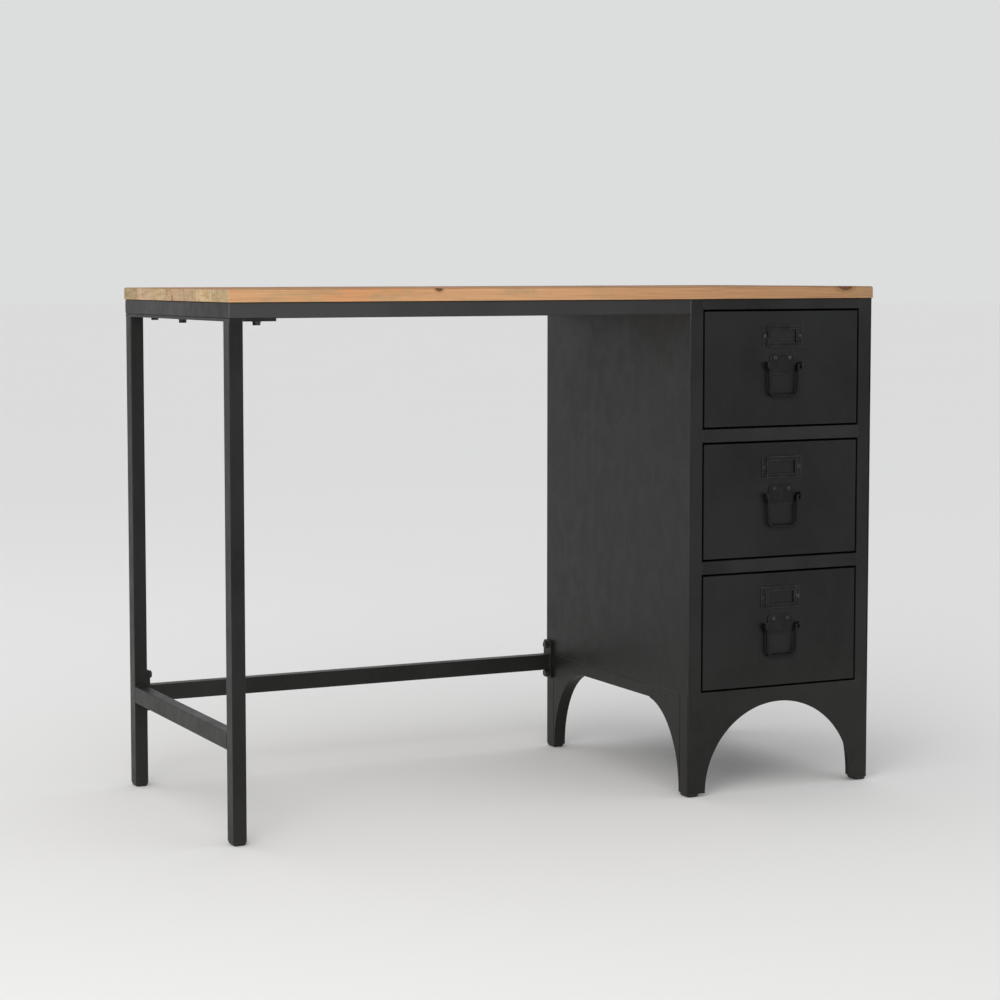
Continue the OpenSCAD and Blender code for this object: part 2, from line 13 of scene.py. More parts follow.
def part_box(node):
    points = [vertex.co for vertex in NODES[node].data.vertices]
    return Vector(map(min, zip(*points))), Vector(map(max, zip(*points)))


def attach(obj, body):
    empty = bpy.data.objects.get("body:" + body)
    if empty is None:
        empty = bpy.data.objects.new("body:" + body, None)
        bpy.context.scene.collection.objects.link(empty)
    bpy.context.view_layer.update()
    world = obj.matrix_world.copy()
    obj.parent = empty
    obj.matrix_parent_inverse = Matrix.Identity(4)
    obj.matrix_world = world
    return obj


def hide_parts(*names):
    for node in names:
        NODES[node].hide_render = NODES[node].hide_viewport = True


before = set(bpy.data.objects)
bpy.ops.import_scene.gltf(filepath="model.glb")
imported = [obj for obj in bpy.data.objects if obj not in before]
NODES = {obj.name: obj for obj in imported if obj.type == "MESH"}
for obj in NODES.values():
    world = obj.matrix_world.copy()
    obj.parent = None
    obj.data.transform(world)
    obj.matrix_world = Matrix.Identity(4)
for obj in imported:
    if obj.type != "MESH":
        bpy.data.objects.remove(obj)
SCENE = bpy.context.scene
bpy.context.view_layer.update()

MM = 0.001
TINY = 0.01 * MM
DRAWERS = {1: "top", 2: "middle", 3: "bottom"}
BOARD_COUNT = 7
LATHE_STEPS = 24
QUARTER_STEPS = 6

# Camera: 36 mm sensor. Yaw turns it from +Y towards +X, pitch turns it down.
CAMERA_LENS = 87.25
CAMERA_SHIFT = (0.06, -0.04)
CAMERA_PLACE = (-1.6446, -3.3021, 0.7830)
CAMERA_YAW, CAMERA_PITCH, CAMERA_ROLL = 25.025, 4.413, -0.101
CAMERA_REACH = 400

# Stage and light
FLOOR_SIZE = 120.0
FLOOR_COLOUR = (0.86, 0.86, 0.855, 1)
WORLD_COLOUR = (0.72, 0.724, 0.728, 1)
SUN_TURN, SUN_SPREAD, SUN_POWER = (42, 0, -38), 60, 0.46
LIGHTS = {
    "key": dict(place=(-1.75, -2.0, 1.75), size=1.3, power=15, colour=(1.0, 0.965, 0.92)),
    "back": dict(place=(-2.3, 2.4, 1.7), size=2.2, power=8, colour=(0.97, 0.985, 1.0)),
}
LIGHT_TARGET = (0.0, 0.0, 0.42)

# Seven boards from front to back. pith is the tree's centre line as seen from the board's own middle,
# in metres; tilt is how much that line climbs along the board; spacing is the width of one ring.
BOARDS = [
    dict(pith=(-0.012, -0.052), tilt=0.016, spacing=0.0026, light=(0.700, 0.390, 0.195),
         dark=(0.420, 0.190, 0.080), end=(0.590, 0.470, 0.270)),
    dict(pith=(0.020, -0.046), tilt=-0.013, spacing=0.0031, light=(0.560, 0.315, 0.160),
         dark=(0.300, 0.135, 0.058), end=(0.720, 0.576, 0.335)),
    dict(pith=(-0.026, -0.060), tilt=0.010, spacing=0.0024, light=(0.670, 0.405, 0.215),
         dark=(0.400, 0.195, 0.085), end=(0.600, 0.460, 0.285)),
    dict(pith=(0.008, -0.040), tilt=0.020, spacing=0.0034, light=(0.600, 0.325, 0.155),
         dark=(0.320, 0.140, 0.058), end=(0.612, 0.459, 0.284)),
    dict(pith=(0.046, -0.030), tilt=-0.006, spacing=0.0027, light=(0.530, 0.305, 0.165),
         dark=(0.300, 0.145, 0.065), end=(0.648, 0.504, 0.292)),
    dict(pith=(-0.006, -0.055), tilt=-0.018, spacing=0.0032, light=(0.650, 0.385, 0.200),
         dark=(0.350, 0.165, 0.072), end=(0.666, 0.504, 0.327)),
    dict(pith=(0.014, -0.048), tilt=0.014, spacing=0.0025, light=(0.580, 0.330, 0.170),
         dark=(0.330, 0.155, 0.068), end=(0.500, 0.395, 0.220)),
]
KNOT_DARK = (0.070, 0.026, 0.011)
KNOT_LIGHT = (0.210, 0.090, 0.036)
GLUE_LINE = (0.060, 0.030, 0.014)
END_CRACK = (0.110, 0.062, 0.030)
# multiplier that makes the top faces darker
TOP_DARKENING = (0.70, 0.65, 0.59)
DUST = (0.020, 0.019, 0.014)
RUBBED_COAT = (0.085, 0.083, 0.078)
# the next colour is a painted highlight on upright corners near the worktop
CORNER_HIGHLIGHT = (0.160, 0.157, 0.150)
RUST_FLECK = (0.045, 0.040, 0.034)
BARE_STEEL = (0.30, 0.29, 0.27)


# ---- node graphs ----


class Graph:
    """A material under construction, with one short method for each kind of node."""

    def __init__(self, name):
        self.material = bpy.data.materials.new(name)
        self.material.use_nodes = True
        self.tree = self.material.node_tree
        self.tree.nodes.clear()
        self.shader = self.node("ShaderNodeBsdfPrincipled")
        end = self.node("ShaderNodeOutputMaterial")
        self.tree.links.new(self.shader.outputs[0], end.inputs[0])
        self.place = self.node("ShaderNodeTexCoord").outputs["Object"]
        self.normal = self.node("ShaderNodeNewGeometry").outputs["Normal"]

    def node(self, kind, inputs=None, **settings):
        made = self.tree.nodes.new(kind)
        for key, value in settings.items():
            setattr(made, key, value)
        for key, value in (inputs or {}).items():
            self.put(made.inputs[key], value)
        return made

    def put(self, socket, value):
        if isinstance(value, bpy.types.NodeSocket):
            self.tree.links.new(value, socket)
        else:
            socket.default_value = value

    def math(self, operation, *values, clamp=False):
        made = self.node("ShaderNodeMath", operation=operation, use_clamp=clamp)
        for socket, value in zip(made.inputs, values):
            self.put(socket, value)
        return made.outputs[0]

    def vector(self, operation, *values):
        made = self.node("ShaderNodeVectorMath", operation=operation)
        for socket, value in zip(made.inputs, values):
            self.put(socket, value)
        return made.outputs["Value" if operation in ("LENGTH", "DOT_PRODUCT", "DISTANCE") else "Vector"]

    def split(self, vector):
        return self.node("ShaderNodeSeparateXYZ", {0: vector}).outputs

    def join(self, x, y, z):
        return self.node("ShaderNodeCombineXYZ", {0: x, 1: y, 2: z}).outputs[0]

    def stretched(self, scale, seed=0.0):
        """The object's own coordinates, scaled per axis and moved to another part of the noise."""
        shift = (seed * 3.17, seed * 1.73, seed * 2.41)
        return self.node("ShaderNodeMapping",
                         {"Vector": self.place, "Location": shift, "Scale": scale}).outputs[0]

    def noise(self, vector, scale=1.0, detail=2.0, roughness=0.5):
        return self.node("ShaderNodeTexNoise", {"Vector": vector, "Scale": scale, "Detail": detail,
                                                "Roughness": roughness}).outputs

    def spread(self, value, lo, hi, to_lo=0.0, to_hi=1.0, smooth=True):
        """value between lo and hi, carried over to the range to_lo to to_hi."""
        made = self.node("ShaderNodeMapRange", {0: value, 1: lo, 2: hi, 3: to_lo, 4: to_hi},
                         interpolation_type="SMOOTHSTEP" if smooth else "LINEAR")
        return made.outputs[0]

    def mix(self, share, a, b, blend="MIX"):
        made = self.node("ShaderNodeMix", data_type="RGBA", blend_type=blend)
        for index, value in ((0, share), (6, a), (7, b)):
            self.put(made.inputs[index], opaque(value))
        return made.outputs[2]

    def ramp(self, share, stops):
        made = self.node("ShaderNodeValToRGB", {0: share})
        line = made.color_ramp
        while len(line.elements) < len(stops):
            line.elements.new(0.5)
        for element, (place, colour) in zip(line.elements, stops):
            element.position = place
            element.color = opaque(colour)
        return made.outputs[0]

    def bump(self, height, distance, strength=1.0, under=None):
        inputs = {"Height": height, "Distance": distance, "Strength": strength}
        if under is not None:
            inputs["Normal"] = under
        return self.node("ShaderNodeBump", inputs).outputs[0]

    def edges(self, radius):
        """0 on flat faces, rising to 1 within radius of a convex or concave edge. The second output
        is 1 where that edge is upright and 0 where it is level."""
        soft = self.node("ShaderNodeBevel", {"Radius": radius}, samples=6).outputs[0]
        turn = self.math("SUBTRACT", 1.0, self.vector("DOT_PRODUCT", soft, self.normal))
        slope = self.math("ABSOLUTE", self.split(soft)[2])
        return self.spread(turn, 0.015, 0.16), self.spread(slope, 0.35, 0.10)

    def done(self, **inputs):
        """Fills the shader's own sockets, with spaces for underscores in their names."""
        for key, value in inputs.items():
            self.put(self.shader.inputs[key.replace("_", " ")], opaque(value))
        return self.material


def opaque(value):
    """A colour of three numbers with its fourth; anything else as it is."""
    return (*value, 1.0) if isinstance(value, tuple) and len(value) == 3 else value


# ---- materials ----


def wood(name, board, lo, hi, seed, knots, right_end_shade=1.0, seams=(True, True)):
    """One softwood board. Its rings are shells round a slightly tilted, wandering pith line, so the
    top shows arches and stripes, the edge shows streaks and the ends show arcs. knots holds
    (centre, radii) of ellipsoids that push the rings aside and show their own dark rings. The tone
    drops to right_end_shade at the right end, a painted shade of the light falling off away from the
    left, and seams says which long sides are glued to a neighbour."""
    g = Graph(name)
    x, y, z = g.split(g.place)
    middle = ((lo.y + hi.y) / 2, (lo.z + hi.z) / 2)
    wander = g.split(g.noise(g.stretched((1.6, 5.0, 5.0), seed), detail=2)[1])
    across = g.math("ADD", g.math("SUBTRACT", y, middle[0] + board["pith"][0]),
                    g.math("MULTIPLY_ADD", wander[0], 0.030, -0.015))
    climb = g.math("MULTIPLY_ADD", x, board["tilt"], -middle[1] - board["pith"][1])
    above = g.math("ADD", g.math("ADD", z, climb), g.math("MULTIPLY_ADD", wander[1], 0.034, -0.017))
    radius = g.vector("LENGTH", g.join(0.0, across, above))
    ripple = g.noise(g.stretched((8.0, 65.0, 65.0), seed + 5), detail=3)[0]
    radius = g.math("ADD", radius, g.math("MULTIPLY_ADD", ripple, 0.0022, -0.0011))

    fibre = g.noise(g.stretched((14.0, 620.0, 620.0), seed), detail=5, roughness=0.62)[0]
    knot_mask, knot_rings, knot_halo = 0.0, 0.0, 0.0
    for centre, radii in knots:
        off = g.vector("DIVIDE", g.vector("SUBTRACT", g.place, centre), radii)
        rough = g.noise(g.vector("ADD", off, (seed, seed, seed)), scale=1.3, detail=3)[0]
        reach = g.math("ADD", g.vector("LENGTH", off), g.math("MULTIPLY_ADD", rough, 0.7, -0.35))
        push = g.math("EXPONENT", g.math("MULTIPLY", g.math("MULTIPLY", reach, reach), -0.42))
        radius = g.math("MULTIPLY_ADD", push, 0.85 * radii[1], radius)
        inside = g.spread(reach, 1.10, 0.96)
        rim = g.spread(g.math("ABSOLUTE", g.math("SUBTRACT", reach, 0.97)), 0.02, 0.20, 0.0, 1.0)
        waves = g.math("MULTIPLY_ADD", rough, 0.5, g.math("MULTIPLY", reach, 2.6))
        rings = g.math("PINGPONG", waves, 0.5)
        rings = g.math("MULTIPLY", g.math("MULTIPLY", rings, rim), inside)
        knot_mask = g.math("MAXIMUM", knot_mask, inside)
        knot_rings = g.math("MAXIMUM", knot_rings, rings)
        knot_halo = g.math("MAXIMUM", knot_halo, g.spread(reach, 2.3, 1.0))

    pace = g.noise(g.join(g.math("MULTIPLY", radius, 110.0), seed * 1.9, 0.0), detail=1)[0]
    turns = g.math("MULTIPLY_ADD", pace, 1.6, g.math("DIVIDE", radius, board["spacing"]))
    year = g.math("FRACT", turns)
    late = g.ramp(year, [(0.0, (0, 0, 0)), (0.42, (0.10,) * 3), (0.80, (0.62,) * 3),
                         (0.93, (1, 1, 1)), (1.0, (0.02,) * 3)])
    vigour = g.noise(g.stretched((2.5, 26.0, 26.0), seed + 9), detail=3)[0]
    late = g.math("MULTIPLY", late, g.spread(vigour, 0.30, 0.72, 0.25, 0.85))

    light, dark = board["light"], board["dark"]
    face = g.mix(late, light, dark)
    blotch = g.noise(g.stretched((3.2, 14.0, 14.0), seed + 2), detail=4, roughness=0.55)[0]
    warm = tuple(c * k for c, k in zip(light, (0.98, 0.76, 0.62)))
    face = g.mix(g.spread(blotch, 0.44, 0.70, 0.0, 0.62), face, warm)
    dull = g.noise(g.stretched((20.0, 50.0, 50.0), seed + 12), detail=4, roughness=0.6)[0]
    olive = tuple(c * k for c, k in zip(light, (0.74, 0.84, 0.84)))
    face = g.mix(g.spread(dull, 0.47, 0.68, 0.0, 0.80), face, olive)
    pale = tuple(min(1.0, c * k) for c, k in zip(light, (1.16, 1.24, 1.36)))
    streak = g.noise(g.stretched((2.0, 90.0, 90.0), seed + 7), detail=3)[0]
    face = g.mix(g.spread(streak, 0.54, 0.74, 0.0, 0.55), face, pale)
    grain = g.spread(fibre, 0.28, 0.72, 0.80, 1.10, smooth=False)
    face = g.mix(1.0, face, g.join(grain, grain, grain), "MULTIPLY")
    face = g.mix(g.math("MULTIPLY", knot_halo, 0.55), face, tuple(c * 0.72 for c in dark))
    # painted shade: the tone darkens towards the board's right end, away from the lamps on the left
    tone = g.spread(x, lo.x + 0.3 * (hi.x - lo.x), hi.x, 1.0, right_end_shade)
    face = g.mix(1.0, face, g.join(tone, tone, tone), "MULTIPLY")
    if any(seams):
        half = (hi.y - lo.y) / 2
        side = g.math("SUBTRACT", y, middle[0])
        if not seams[0]:
            side = g.math("MAXIMUM", side, 0.0)
        elif not seams[1]:
            side = g.math("MINIMUM", side, 0.0)
        line = g.spread(g.math("ABSOLUTE", side), half - 0.9 * MM, half - 0.15 * MM, 0.0, 0.55)
        face = g.mix(line, face, GLUE_LINE)

    pores = g.noise(g.stretched((480.0, 480.0, 480.0), seed + 3), detail=3, roughness=0.7)[0]
    saw = g.noise(g.stretched((30.0, 34.0, 210.0), seed + 4), detail=4, roughness=0.6)[0]
    end_dark = tuple(c * k for c, k in zip(board["end"], (0.50, 0.41, 0.31)))
    end_rosy = tuple(c * k for c, k in zip(board["end"], (1.04, 0.84, 0.76)))
    patch = g.noise(g.stretched((30.0, 170.0, 60.0), seed + 6), detail=3)[0]
    check = g.noise(g.stretched((12.0, 230.0, 40.0), seed + 8), detail=3, roughness=0.6)[0]
    end = g.mix(g.spread(patch, 0.40, 0.62), board["end"], end_rosy)
    end = g.mix(g.math("MULTIPLY", late, 0.75), end, end_dark)
    end = g.mix(g.spread(saw, 0.42, 0.72, 0.0, 0.62), end, end_dark)
    end = g.mix(g.spread(check, 0.60, 0.74, 0.0, 0.80), end, END_CRACK)
    speck = g.spread(pores, 0.30, 0.70, 0.74, 1.12, smooth=False)
    end = g.mix(1.0, end, g.join(speck, speck, speck), "MULTIPLY")

    nx, _, nz = g.split(g.normal)
    is_end = g.spread(g.math("ABSOLUTE", nx), 0.62, 0.92)
    is_top = g.spread(nz, 0.15, 0.85)
    # top faces darker than the edges and ends
    top_tint = g.mix(is_top, (1.0, 1.0, 1.0), TOP_DARKENING)
    colour = g.mix(1.0, g.mix(is_end, face, end), top_tint, "MULTIPLY")
    heart = g.mix(g.math("MULTIPLY", knot_rings, 2.0, clamp=True), KNOT_DARK, KNOT_LIGHT)
    colour = g.mix(g.math("MULTIPLY", knot_mask, 0.94), colour, heart)

    height = g.math("MULTIPLY_ADD", late, 0.35, g.math("MULTIPLY", fibre, 0.75))
    rough = g.spread(g.math("MULTIPLY_ADD", late, -0.3, fibre), 0.1, 0.8, 0.42, 0.62, smooth=False)
    rough = g.math("ADD", rough, g.math("MULTIPLY", g.math("MAXIMUM", is_end, is_top), 0.14))
    return g.done(Base_Color=colour, Roughness=rough, IOR=1.45, Specular_IOR_Level=0.28,
                  Normal=g.bump(height, 0.14 * MM, 0.8))


def coated_steel(name, colour, tint, gloss, seed, wear=0.6, level=False, painted_left_light=None):
    """Dark coated sheet and tube: mottled colour, faint rub marks (upright, or level along a tube
    that lies), a fine skin like orange peel over slow waves, edges rubbed lighter, and a little dust
    low down. On a part that stands, and on one given painted_left_light, the upright edges near the
    worktop's height carry a painted highlight. painted_left_light is a paler colour painted in towards
    the left: painted light from the lamps on that side."""
    g = Graph(name)
    x, _, z = g.split(g.place)
    cloud = g.noise(g.stretched((6.0, 6.0, 5.0), seed), detail=6, roughness=0.62)[0]
    fleck = g.noise(g.stretched((44.0, 44.0, 30.0), seed + 1), detail=5, roughness=0.66)[0]
    marks = (9.0, 9.0, 150.0) if level else (150.0, 150.0, 9.0)
    rub = g.noise(g.stretched(marks, seed + 2), detail=4, roughness=0.6)[0]
    skin = g.noise(g.stretched((620.0, 620.0, 620.0), seed + 3), detail=2)[0]
    wave = g.noise(g.stretched((8.0, 8.0, 8.0), seed + 4), detail=2)[0]
    grit = g.noise(g.stretched((2400.0, 2400.0, 2400.0), seed + 5), detail=1)[0]

    light = tuple(c * 1.75 for c in colour)
    deep = tuple(c * 0.55 for c in colour)
    base = g.mix(g.spread(cloud, 0.33, 0.68), deep, light)
    base = g.mix(g.spread(fleck, 0.52, 0.74, 0.0, 0.55), base, tint)
    base = g.mix(g.spread(rub, 0.58, 0.80, 0.0, 0.40), base, light)
    # painted light: the colour turns paler towards the left, where the lamps on the left light it more
    if painted_left_light:
        share = g.math("MULTIPLY", g.spread(x, 0.30, -0.45, 0.25, 1.0),
                       g.spread(cloud, 0.2, 0.8, 0.75, 1.0))
        base = g.mix(share, base, painted_left_light)
    dust = g.math("MULTIPLY", g.spread(z, 0.34, 0.02), g.spread(fleck, 0.25, 0.75, 0.35, 1.0))
    base = g.mix(g.math("MULTIPLY", dust, 0.55), base, DUST)
    edge, upright = g.edges(1.4 * MM)
    patchy = g.spread(g.math("ADD", fleck, g.math("MULTIPLY", cloud, 0.6)), 0.62, 0.98, 0.25, 1.0)
    worn = g.math("MULTIPLY", g.math("MULTIPLY", edge, patchy), wear)
    base = g.mix(worn, base, RUBBED_COAT)
    # painted highlight: upright edges near the worktop's height are lightened, most at the top, as if
    # catching light from above
    if painted_left_light or not level:
        high = g.math("MULTIPLY", g.spread(z, 0.60, 0.745), g.math("MULTIPLY", edge, upright))
        base = g.mix(g.math("MULTIPLY", high, 0.80), base, CORNER_HIGHLIGHT)

    rough = g.spread(cloud, 0.30, 0.70, gloss - 0.05, gloss + 0.07)
    rough = g.math("ADD", rough, g.spread(fleck, 0.3, 0.7, -0.05, 0.05))
    rough = g.math("ADD", rough, g.spread(rub, 0.55, 0.80, 0.0, -0.06))
    rough = g.math("MULTIPLY_ADD", worn, -0.10, rough, clamp=True)
    slow = g.bump(wave, 1.6 * MM, 0.5)
    fine = g.math("MULTIPLY_ADD", grit, 0.25, skin)
    return g.done(Base_Color=base, Roughness=rough, IOR=1.34,
                  Normal=g.bump(fine, 0.05 * MM, 0.7, slow))


def blackened(name, colour, gloss, seed, bare):
    """Small black hardware: an oxide skin rubbed through to bare metal along its edges."""
    g = Graph(name)
    cloud = g.noise(g.stretched((60.0, 60.0, 60.0), seed), detail=5, roughness=0.65)[0]
    fleck = g.noise(g.stretched((320.0, 320.0, 320.0), seed + 1), detail=4, roughness=0.6)[0]
    edge, _ = g.edges(0.9 * MM)
    share = g.math("MULTIPLY", edge, g.spread(cloud, 0.30, 0.62, 0.20, 1.0))
    share = g.math("MULTIPLY", share, bare)
    base = g.mix(g.spread(cloud, 0.35, 0.7), tuple(c * 0.6 for c in colour),
                 tuple(c * 1.6 for c in colour))
    base = g.mix(g.spread(fleck, 0.60, 0.78, 0.0, 0.45), base, RUST_FLECK)
    base = g.mix(share, base, BARE_STEEL)
    rough = g.math("ADD", g.spread(cloud, 0.3, 0.7, gloss - 0.06, gloss + 0.08),
                   g.spread(fleck, 0.3, 0.7, -0.05, 0.05))
    metal = g.math("MULTIPLY_ADD", share, 0.7, 0.25, clamp=True)
    return g.done(Base_Color=base, Roughness=rough, Metallic=metal, IOR=1.36,
                  Normal=g.bump(fleck, 0.06 * MM, 0.7))


def zinc(name):
    """Galvanised runner steel with its spangle and sliding marks."""
    g = Graph(name)
    cells = g.node("ShaderNodeTexVoronoi", {"Vector": g.stretched((70.0, 45.0, 70.0)), "Scale": 1.0})
    spangle = g.split(cells.outputs["Color"])[0]
    marks = g.noise(g.stretched((500.0, 5.0, 500.0)), detail=4)[0]
    base = g.mix(spangle, (0.36, 0.37, 0.38), (0.56, 0.57, 0.58))
    base = g.mix(g.spread(marks, 0.5, 0.75, 0.0, 0.5), base, (0.22, 0.22, 0.22))
    rough = g.math("MULTIPLY_ADD", spangle, 0.16, g.spread(marks, 0.3, 0.7, 0.26, 0.40))
    return g.done(Base_Color=base, Roughness=rough, Metallic=1.0, Normal=g.bump(marks, 0.03 * MM, 0.6))


def moulded_plastic(name):
    """Black foot plastic with a spark-eroded grain and scuffs near the floor."""
    g = Graph(name)
    z = g.split(g.place)[2]
    grain = g.noise(g.stretched((1500.0, 1500.0, 1500.0)), detail=3)[0]
    scuff = g.noise(g.stretched((160.0, 160.0, 420.0), 4), detail=5, roughness=0.7)[0]
    low = g.math("MULTIPLY", g.spread(z, 0.004, 0.0), g.spread(scuff, 0.45, 0.7))
    base = g.mix(g.math("MULTIPLY", low, 0.6), (0.010, 0.010, 0.010), (0.060, 0.057, 0.052))
    rough = g.spread(scuff, 0.3, 0.7, 0.46, 0.62)
    return g.done(Base_Color=base, Roughness=rough, IOR=1.46, Normal=g.bump(grain, 0.05 * MM, 0.8))


def pale_floor(name):
    """Matt studio floor with a barely visible unevenness."""
    g = Graph(name)
    cloud = g.noise(g.stretched((0.7, 0.7, 0.7)), detail=4)[0]
    low, high = (tuple(c * k for c in FLOOR_COLOUR[:3]) for k in (0.985, 1.0))
    return g.done(Base_Color=g.mix(cloud, low, high), Roughness=0.9, IOR=1.3)


# ---- meshes ----


def piece(name, mesh, material, body, stands_for=()):
    """Puts a finished mesh or bmesh into the scene as one of the desk's pieces."""
    if isinstance(mesh, bmesh.types.BMesh):
        shape, mesh = mesh, bpy.data.meshes.new(name)
        bmesh.ops.recalc_face_normals(shape, faces=shape.faces)
        shape.to_mesh(mesh)
        shape.free()
    mesh.shade_smooth()
    mesh.materials.append(material)
    made = bpy.data.objects.new(name, mesh)
    SCENE.collection.objects.link(made)
    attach(made, body)
    if stands_for:
        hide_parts(*stands_for)
    return made


def even_normals(thing):
    """Keeps flat faces flat in shading and lets only the rounded edges turn."""
    even = thing.modifiers.new("even_normals", "WEIGHTED_NORMAL")
    even.weight = 60
    even.keep_sharp = True


def soften(node, width, segments=2):
    """Rounds the edges of a CAD node with modifiers, which leave its own mesh as it is."""
    thing = NODES[node]
    weld = thing.modifiers.new("weld", "WELD")
    weld.merge_threshold = 0.002 * MM
    flat = thing.modifiers.new("flat", "DECIMATE")
    flat.decimate_type = "DISSOLVE"
    flat.angle_limit = math.radians(0.5)
    round_off = thing.modifiers.new("round_off", "BEVEL")
    round_off.width = width
    round_off.segments = segments
    round_off.limit_method = "ANGLE"
    round_off.angle_limit = math.radians(40)
    round_off.harden_normals = False
    even_normals(thing)


def dress(names, material, width, segments=2):
    """Gives CAD nodes a material and soft edges."""
    for name in names:
        mesh = NODES[name].data
        for index in range(len(mesh.materials)):
            mesh.materials[index] = material
        soften(name, width, segments)


def box_mesh(lo, hi):
    shape = bmesh.new()
    bmesh.ops.create_cube(shape, size=1.0)
    size = hi - lo
    for vert in shape.verts:
        vert.co = Vector(lo[k] + (vert.co[k] + 0.5) * size[k] for k in range(3))
    return shape


def edges_where(shape, test):
    """Edges whose middle passes a test."""
    return [e for e in shape.edges if test((e.verts[0].co + e.verts[1].co) / 2)]


def round_edges(shape, edges, radius, segments):
    bmesh.ops.bevel(shape, geom=edges, offset=radius, segments=segments, profile=0.5,
                    affect="EDGES", clamp_overlap=True)


def slice_along_x(shape, lo, hi, step):
    """Cuts a mesh into short lengths along X, so that it can be shaped."""
    count = int((hi - lo) / step)
    for k in range(1, count):
        bmesh.ops.bisect_plane(shape, geom=[*shape.verts, *shape.edges, *shape.faces],
                               plane_co=(lo + (hi - lo) * k / count, 0, 0), plane_no=(1, 0, 0))


def make_board(index):
    """A glued board: soft arrises where it is free, a hairline groove where it meets the next one,
    and small dents along the worktop's front edge."""
    node = f"top_board_{index}"
    lo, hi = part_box(node)
    arris, groove, slice_length = 2.4 * MM, 0.35 * MM, 9 * MM
    dent_pitch, dent_depth, wave_pitch, rub = 55.0, 1.6 * MM, 6.0, 0.10 * MM
    shape = box_mesh(lo, hi)
    outer_y = {1: lo.y, BOARD_COUNT: hi.y}.get(index)

    def outer_arris(middle):
        on_top = abs(middle.z - hi.z) < TINY
        at_end = min(abs(middle.x - lo.x), abs(middle.x - hi.x)) < TINY
        at_side = outer_y is not None and abs(middle.y - outer_y) < TINY
        return (on_top and (at_end or at_side)) or (at_end and at_side)

    round_edges(shape, edges_where(shape, outer_arris), arris, 5)
    sharp = [e for e in shape.edges if e.is_manifold and e.calc_face_angle() > math.radians(60)]
    round_edges(shape, sharp, groove, 2)
    slice_along_x(shape, lo.x, hi.x, slice_length)
    for vert in shape.verts:
        co = vert.co
        near_edge = outer_y is not None and abs(co.y - outer_y) < 4 * MM and co.z > lo.z + 8 * MM
        dent = noise.noise(Vector((co.x * dent_pitch, index * 7.3, 2.0)))
        inward = rub + max(0.0, dent - 0.25) * dent_depth if near_edge else 0.0
        slow = noise.noise(Vector((co.x * wave_pitch, index * 3.1, 5.0)))
        if co.z > hi.z - 3 * MM:
            co.z -= rub * (1 + slow) + inward * 0.5
        if near_edge:
            co.y += inward if outer_y == lo.y else -inward
    rng = random.Random(400 + index)
    knots = []
    for _ in range(rng.choice((1, 2, 2, 3))):
        centre = (lo.x + (0.08 + 0.84 * rng.random()) * (hi.x - lo.x),
                  lo.y + (0.25 + 0.5 * rng.random()) * (hi.y - lo.y), hi.z)
        size = rng.uniform(4.5, 9.5) * MM
        knots.append((centre, (size * rng.uniform(1.1, 1.5), size, 40 * MM)))
    # right_end_shade: painted shade towards the right end, strongest on the front board
    right_end_shade = 0.86
    if index == 1:
        length = hi.x - lo.x
        right_end_shade = 0.70
        knots = [((lo.x + 0.300 * length, lo.y, hi.z - 2 * MM), (5 * MM, 9 * MM, 2.6 * MM)),
                 ((lo.x + 0.951 * length, lo.y, hi.z), (12 * MM, 15 * MM, 5.8 * MM)),
                 ((lo.x + 0.62 * length, lo.y + 38 * MM, hi.z), (9 * MM, 7 * MM, 40 * MM))]
    if index == 4:
        knots.append(((lo.x, (lo.y + hi.y) / 2 + 3 * MM, lo.z), (8 * MM, 2.2 * MM, 8 * MM)))
        knots.append(((lo.x, lo.y - 4 * MM, lo.z), (8 * MM, 1.6 * MM, 5 * MM)))
    material = wood(f"pine_{index}", BOARDS[index - 1], lo, hi, index * 11.0, knots, right_end_shade,
                    (index > 1, index < BOARD_COUNT))
    even_normals(piece(f"board_{index}", shape, material, "desk", [node]))


def ring_surface(shape, rings):
    """Faces between rings of points that follow each other, with flat caps on both ends."""
    loops = [[shape.verts.new(p) for p in ring] for ring in rings]
    for a, b in zip(loops, loops[1:]):
        count = len(a)
        for k in range(count):
            shape.faces.new((a[k], a[(k + 1) % count], b[(k + 1) % count], b[k]))
    shape.faces.new(list(reversed(loops[0])))
    shape.faces.new(loops[-1])


def lathe(shape, base, axis, side, profile):
    """A solid of revolution: profile holds (radius, distance along axis) pairs."""
    other = axis.cross(side)
    rings = []
    for radius, along in profile:
        rings.append([base + axis * along + (side * math.cos(t) + other * math.sin(t)) * radius
                      for t in (2 * math.pi * k / LATHE_STEPS for k in range(LATHE_STEPS))])
    ring_surface(shape, rings)


